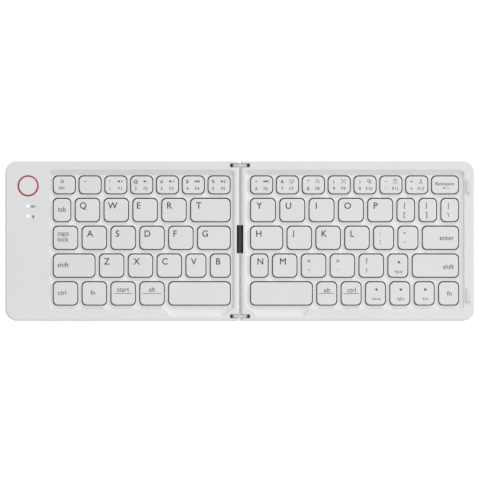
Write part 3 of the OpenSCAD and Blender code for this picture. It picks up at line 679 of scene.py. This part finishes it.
def downSign(flat):
    inkRound(flat, 0, 0, 0.85, 3, 180)


def leftSign(flat):
    inkRound(flat, 0, 0, 0.85, 3, 90)


def rightSign(flat):
    inkRound(flat, 0, 0, 0.85, 3, -90)


def inkSign(bm, corner, sign, x, y, size=1.0):
    flat = bmesh.new()
    sign(flat)
    raiseInk(flat)
    place = (Matrix.Translation(corner + Vector((x, -y, legend["proud"] - legend["thick"])) * mm)
             @ Matrix.Diagonal((mm * size, mm * size, mm, 1)))
    bmesh.ops.transform(flat, matrix=place, verts=flat.verts)
    mesh = bpy.data.meshes.new("signDraft")
    flat.to_mesh(mesh)
    flat.free()
    bm.from_mesh(mesh)
    bpy.data.meshes.remove(mesh)


def inkLine(bm, corner, x, y, wide):
    def line(flat):
        inkBar(flat, 0, 0, wide, legend["line"])
    inkSign(bm, corner, line, x, y)


# x of both columns, then upper, lower, right and sign of each key
numberLegends = {
    "keys_number_left": (3.0, 9.25, [
        ("~", "`", "", None), ("!", "1", "F1", muteSign), ("@", "2", "F2", softerSign),
        ("#", "3", "F3", louderSign), ("$", "4", "F4", backSign), ("%", "5", "F5", playSign)]),
    "keys_number_right": (3.5, 9.35, [
        ("^", "6", "F6", nextSign), ("&", "7", "F7", screenSign), ("*", "8", "F8", searchSign),
        ("(", "9", "F9", selectSign), (")", "0", "F10", copySign), ("_", "-", "F11", pasteSign),
        ("+", "=", "F12", cutSign)]),
}
# x, y and the letters of each row
letterLegends = {
    "keys_top_left": (2.7, 4.3, "QWERT"), "keys_home_left": (2.8, 4.5, "ASDFG"),
    "keys_lower_left": (2.95, 4.5, "ZXCVB"), "keys_top_right": (3.5, 4.4, "YUIOP"),
    "keys_home_right": (3.35, 4.5, "HJKL"), "keys_lower_right": (4.15, 4.5, "NM")}
letterShift = {"B": 0.5, "M": 0.4, "W": -0.5, "E": -0.4, "R": 0.5, "T": 0.6, "I": 0.5, "J": -0.3,
               "Z": -0.3}
# place in the row, then upper and lower mark and x, where None is the middle
pairLegends = {
    "keys_top_right": {5: ("{", "[", None), 6: ("}", "]", None), 7: ("|", "\\", None)},
    "keys_home_right": {4: (":", ";", 4.0), 5: ("\"", "'", 4.0)},
    "keys_lower_right": {2: ("<", ",", 4.6), 3: (">", ".", 4.6), 4: ("?", "/", 4.6)},
}
# words, x, y and side, where None is the middle and a negative x counts from the right edge
wordLegends = {
    "key_tab": [("tab", 2.55, None, "LEFT")],
    "key_caps_lock": [("caps", 2.55, 4.3, "LEFT"), ("lock", 2.55, 8.0, "LEFT")],
    "key_shift_left": [("shift", 2.55, None, "LEFT")],
    "key_ctrl_left": [("ctrl", 2.55, None, "LEFT")],
    "key_fn_left": [("fn", 6.6, None, "CENTER")],
    "key_start": [("start", None, 4.6, "CENTER")],
    "key_alt_left": [("alt", None, 4.6, "CENTER")],
    "key_alt_right": [("alt", 6.3, 5.0, "CENTER")],
    "key_ctrl_right": [("ctrl", 6.4, 5.0, "CENTER")],
    "key_enter": [("enter", -2.6, 7.1, "RIGHT")],
    "key_shift_right": [("shift", -2.6, 7.8, "RIGHT")],
    "key_fn_right": [("fn", 6.55, 7.1, "CENTER")],
}
# width of the thin line under a word
ruleLegends = {"key_start": 11.5, "key_alt_left": 11.5, "key_alt_right": 9.8, "key_ctrl_right": 9.8}
arrowLegends = {
    "key_up": ("PgUp", upSign), "key_left": ("Home", leftSign), "key_down": ("PgDn", downSign),
    "key_right": ("End", rightSign)}


# everything printed on one node's keys
def drawLegends(bm, node):
    corners = [Vector((low.x, high.y, high.z)) for low, high in capBoxes[node]]
    low, high = capBoxes[node][0]
    wide, deep = (high.x - low.x) / mm, (high.y - low.y) / mm
    if node in numberLegends:
        near, far, rows = numberLegends[node]
        for corner, (upper, lower, label, sign) in zip(corners, rows):
            x = near + (0.8 if upper == "~" else 0)
            inkText(bm, corner, upper, legend["small"], x, level["upper"], centred=upper in "~^_+")
            inkText(bm, corner, lower, legend["small"], x, level["lower"], centred=lower in "`-=")
            if sign:
                inkText(bm, corner, label, legend["small"], far, level["lower"])
                inkSign(bm, corner, sign, far, level["sign"], legend["signs"])
    if node in letterLegends:
        near, down, letters = letterLegends[node]
        for corner, letter in zip(corners, letters):
            x = near + letterShift.get(letter, 0)
            hooked = letter == "J"
            tall = legend["letter"] * (0.8 if hooked else 1)
            inkText(bm, corner, letter, tall, x, down, "LEFT", hooked)
    for index, (upper, lower, near) in pairLegends.get(node, {}).items():
        low, high = capBoxes[node][index]
        x = near or (high.x - low.x) / mm / 2 - 0.8
        tall = legend["fine"] * (1.15 if upper == "?" else 1)
        inkText(bm, corners[index], upper, tall, x, level["pairUpper"], centred=upper in "<>\"")
        inkText(bm, corners[index], lower, legend["fine"], x, level["pairLower"],
                centred=lower in ",.;'")
    for words, x, y, align in wordLegends.get(node, []):
        x = wide / 2 if x is None else x if x > 0 else wide + x
        inkText(bm, corners[0], words, legend["word"], x, y or deep / 2 - 0.5, align)
    if node in ruleLegends:
        inkLine(bm, corners[0], wide / 2, level["rule"], ruleLegends[node])
    if node in arrowLegends:
        words, sign = arrowLegends[node]
        down = 0.4 if node == "key_up" else 0
        x = wide / 2 + 0.7
        inkSign(bm, corners[0], sign, x, level["arrow"] + down, legend["arrows"])
        inkText(bm, corners[0], words, legend["tiny"], x, level["arrowWord"] + down)
    if node == "key_esc":
        inkSign(bm, corners[0], roundSign, 5.4, 3.3, 1.35)
        inkText(bm, corners[0], "esc", legend["small"] * 1.15, 5.2, 7.0)
    if node == "key_backspace":
        inkText(bm, corners[0], "Backspace", legend["small"], 8.1, 4.65)
        inkSign(bm, corners[0], eraseSign, 8.9, 7.45, 0.95)


for node in leftKeyNodes + rightKeyNodes:
    if node.startswith("key_space"):
        continue
    bm = bmesh.new()
    drawLegends(bm, node)
    addPiece(joinedName("legends", node), bm, "inkGrey", node)


indicator = dict(signX=1.9, chargeDown=1.6, capitalUp=1.0, size=1.25)


# a sign beside each of the two lights
def addIndicatorSigns():
    bm = bmesh.new()
    low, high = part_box("indicator_lenses")
    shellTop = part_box("left_top_case")[1].z
    rows = ((chargeSign, high.y - indicator["chargeDown"] * mm),
            (capitalSign, low.y + indicator["capitalUp"] * mm))
    for sign, row in rows:
        inkSign(bm, Vector((high.x, row, shellTop)), sign, indicator["signX"], 0, indicator["size"])
    addPiece("indicatorSigns", bm, "inkGrey", "left_half")


addIndicatorSigns()
print("legends printed")


# connect button

button = dict(edge=0.3, edgeSteps=4)


def addButton():
    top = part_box("connect_button")[1].z
    bm = flatMesh("connect_button")
    crown = [e for e in bm.edges if all(abs(v.co.z - top) < 0.01 * mm for v in e.verts)]
    bevelEdges(bm, crown, button["edge"], button["edgeSteps"])
    smoothByAngle(bm, soft["creaseFrom"])
    return evenShading(addPiece("roundConnectButton", bm, "casePlastic", "connect_button",
                                ["connect_button"]))


addButton()


# scissors and domes, one piece under each key body

underKeys = dict(creaseFrom=32)


def addUnderKeys(node, label, finish, half, keyNodes):
    for keyNode in keyNodes:
        keyLow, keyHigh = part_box(keyNode)
        bm = nodeMesh(node)
        others = []
        for island in islandsOf(bm):
            a, b = boxOf(island)
            centre = (a + b) / 2
            if not (keyLow.x < centre.x < keyHigh.x and keyLow.y < centre.y < keyHigh.y):
                others += island
        bmesh.ops.delete(bm, geom=others, context="VERTS")
        smoothByAngle(bm, underKeys["creaseFrom"])
        piece = addPiece(joinedName(label, keyNode), bm, finish, half, [node])
        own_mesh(piece)


for side, keyNodes in (("left", leftKeyNodes), ("right", rightKeyNodes)):
    addUnderKeys(side + "_scissors", "scissors", "scissorPlastic", side + "_half", keyNodes)
    addUnderKeys(side + "_domes", "domes", "domeRubber", side + "_half", keyNodes)
print("scissors and domes done")


# flat cable in the seam, one piece for each hinge

cable = dict(reach=2.9, creaseFrom=40)    # the bend runs to reach on both sides of the seam


def addCableHalf(name, side):
    bm = nodeMesh("flex_cable")
    bmesh.ops.bisect_plane(bm, geom=bm.verts[:] + bm.edges[:] + bm.faces[:], plane_co=(0, 0, 0),
                           plane_no=(-side, 0, 0), clear_outer=True)
    openEdges = [e for e in bm.edges if e.is_boundary]
    bmesh.ops.contextual_create(bm, geom=openEdges)
    smoothByAngle(bm, cable["creaseFrom"])
    piece = addPiece(name, bm, "cableFilm", None, ["flex_cable"])
    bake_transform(piece)


addCableHalf("cableLoopLeft", -1)
addCableHalf("cableLoopRight", 1)
print("cable done")


# floor, light and camera

stage = dict(floorSize=6, floorDrop=0.05, floorGrey=0.8, floorRough=0.9, photoWide=299.55,
             cameraX=-0.03, cameraY=0.5, cameraHeight=1000, cameraEnd=20, worldLight=0.66)
# the floor adds glow to reach white, less where the keyboard covers it, which paints shade under and
# beside the keyboard
floorGlow = dict(near=8, openAt=0.45, covered=0.26, open=0.6, samples=16)
# watts, size, place in metres, and whether it shows in gloss: the two low lamps would glare on
# the flat tops from low angles
lamps = {
    "sideLamp": (22.0, (1.2, 0.6), (2.25, 0.45, 0.93), False),
    "backLamp": (25.0, (1.2, 0.6), (0.45, 2.25, 0.93), False),
    "frontLamp": (0.55, (0.3, 0.3), (0.1, -0.35, 0.6), True),
}


# 1 for the rays of the camera, of gloss and of glass, which see the background white
def seenDirectly(nodes, links):
    path = nodes.new("ShaderNodeLightPath")
    seen = path.outputs["Is Camera Ray"]
    for ray in ("Is Glossy Ray", "Is Transmission Ray"):
        larger = nodes.new("ShaderNodeMath")
        larger.operation = "MAXIMUM"
        links.new(seen, larger.inputs[0])
        links.new(path.outputs[ray], larger.inputs[1])
        seen = larger.outputs["Value"]
    return seen


def addFloor():
    bm = bmesh.new()
    bmesh.ops.create_grid(bm, x_segments=4, y_segments=4, size=stage["floorSize"] / 2)
    mesh = bpy.data.meshes.new("studioFloor")
    bm.to_mesh(mesh)
    bm.free()
    mat, nodes, links, shader = newMaterial("floorWhite")
    shader.inputs["Base Color"].default_value = (stage["floorGrey"],) * 3 + (1,)
    shader.inputs["Roughness"].default_value = stage["floorRough"]
    glow = nodes.new("ShaderNodeEmission")
    glow.inputs["Color"].default_value = (1, 1, 1, 1)
    # painted shade: the glow dims where the keyboard shuts out the open sky
    cover = nodes.new("ShaderNodeAmbientOcclusion")
    cover.samples = floorGlow["samples"]
    cover.inputs["Distance"].default_value = floorGlow["near"] * mm
    openSky = nodes.new("ShaderNodeMapRange")
    openSky.inputs["From Max"].default_value = floorGlow["openAt"]
    openSky.inputs["To Min"].default_value = floorGlow["covered"]
    openSky.inputs["To Max"].default_value = floorGlow["open"]
    links.new(cover.outputs["AO"], openSky.inputs["Value"])
    links.new(openSky.outputs["Result"], glow.inputs["Strength"])
    both = nodes.new("ShaderNodeAddShader")
    pick = nodes.new("ShaderNodeMixShader")
    links.new(shader.outputs["BSDF"], both.inputs[0])
    links.new(glow.outputs["Emission"], both.inputs[1])
    links.new(seenDirectly(nodes, links), pick.inputs["Fac"])
    links.new(shader.outputs["BSDF"], pick.inputs[1])
    links.new(both.outputs["Shader"], pick.inputs[2])
    links.new(pick.outputs["Shader"], nodes["Material Output"].inputs["Surface"])
    mesh.materials.append(mat)
    floor = bpy.data.objects.new("studioFloor", mesh)
    floor.location.z = -stage["floorDrop"] * mm
    bpy.context.scene.collection.objects.link(floor)


def addLamp(name, energy, size, spot, glossy):
    data = bpy.data.lights.new(name, "AREA")
    data.energy = energy
    data.shape = "RECTANGLE"
    data.size, data.size_y = size
    lamp = bpy.data.objects.new(name, data)
    lamp.location = spot
    lamp.rotation_mode = "QUATERNION"
    lamp.rotation_quaternion = (-Vector(spot)).to_track_quat("-Z", "Y")    # at the origin
    lamp.visible_glossy = glossy
    bpy.context.scene.collection.objects.link(lamp)


def addWorld():
    world = bpy.data.worlds.new("paleStudio")
    world.use_nodes = True
    nodes, links = world.node_tree.nodes, world.node_tree.links
    back = nodes["Background"]
    back.inputs["Color"].default_value = (1, 1, 1, 1)
    strength = nodes.new("ShaderNodeMapRange")
    strength.inputs["To Min"].default_value = stage["worldLight"]
    strength.inputs["To Max"].default_value = 1.0
    links.new(seenDirectly(nodes, links), strength.inputs["Value"])
    links.new(strength.outputs["Result"], back.inputs["Strength"])
    bpy.context.scene.world = world


addFloor()
addWorld()
for lampName, lampFacts in lamps.items():
    addLamp(lampName, *lampFacts)

cameraData = bpy.data.cameras.new("topCamera")
cameraData.type = "ORTHO"
cameraData.ortho_scale = stage["photoWide"] * mm
cameraData.clip_end = stage["cameraEnd"]
camera = bpy.data.objects.new("topCamera", cameraData)
camera.location = (stage["cameraX"] * mm, stage["cameraY"] * mm, stage["cameraHeight"] * mm)
bpy.context.scene.collection.objects.link(camera)
bpy.context.scene.camera = camera
bpy.context.scene.view_settings.view_transform = "Standard"
print("stage set")
